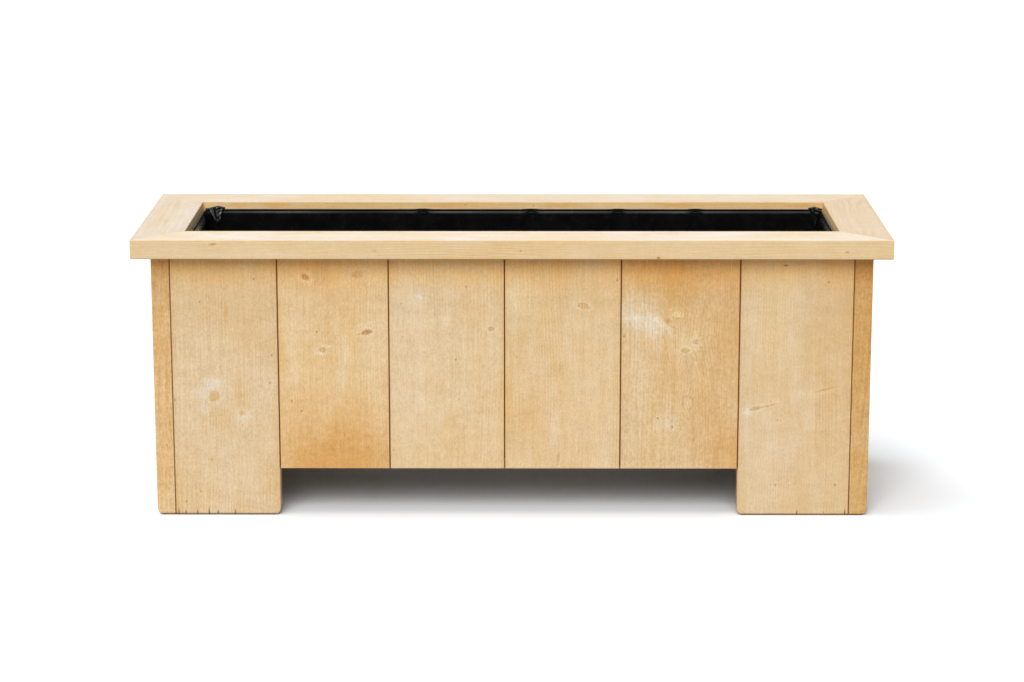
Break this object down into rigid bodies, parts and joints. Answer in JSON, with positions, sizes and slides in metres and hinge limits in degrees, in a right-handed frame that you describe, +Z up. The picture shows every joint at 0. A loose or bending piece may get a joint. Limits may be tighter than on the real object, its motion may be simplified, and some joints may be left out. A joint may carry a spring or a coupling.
{
  "type": "wooden planter box",
  "caption": "Rectangular floor planter of upright pine boards on board legs, with a flat mitred rim and a black film liner stapled inside it.",
  "frame": {"origin": "on the floor under the middle of the box, at the centre of the rim's outline", "axes": "+X along the length to the right seen from the front, +Y from front to back, +Z up"},
  "size_m": [1.291, 0.451, 0.491],
  "materials": {
    "board_pine": "sanded, bare",
    "rim_pine": "sanded, bare",
    "batten_pine": "sawn, bare",
    "floor_pine": "sawn, bare",
    "liner_film": "thin black film, semi-gloss",
    "brad_steel": "bright zinc plated",
    "staple_steel": "bright zinc plated"
  },
  "bodies": {
    "root": {"back_board_1": "board_pine", "back_board_2": "board_pine", "back_board_3": "board_pine", "back_board_4": "board_pine", "back_left_leg_board": "board_pine", "back_right_leg_board": "board_pine", "board_brads": "brad_steel", "bottom_rail_back": "batten_pine", "bottom_rail_front": "batten_pine", "bottom_rail_left": "batten_pine", "bottom_rail_right": "batten_pine", "floor_board_1": "floor_pine", "floor_board_2": "floor_pine", "floor_board_3": "floor_pine", "floor_board_4": "floor_pine", "floor_board_5": "floor_pine", "floor_board_6": "floor_pine", "floor_brads": "brad_steel", "frame_brads": "brad_steel", "front_board_1": "board_pine", "front_board_2": "board_pine", "front_board_3": "board_pine", "front_board_4": "board_pine", "front_left_leg_board": "board_pine", "front_right_leg_board": "board_pine", "left_end_back_board": "board_pine", "left_end_front_board": "board_pine", "liner": "liner_film", "liner_staples": "staple_steel", "right_end_back_board": "board_pine", "right_end_front_board": "board_pine", "rim_back": "rim_pine", "rim_brads": "brad_steel", "rim_front": "rim_pine", "rim_left": "rim_pine", "rim_right": "rim_pine", "top_rail_back": "batten_pine", "top_rail_front": "batten_pine", "top_rail_left": "batten_pine", "top_rail_right": "batten_pine"}
  },
  "joints": []
}
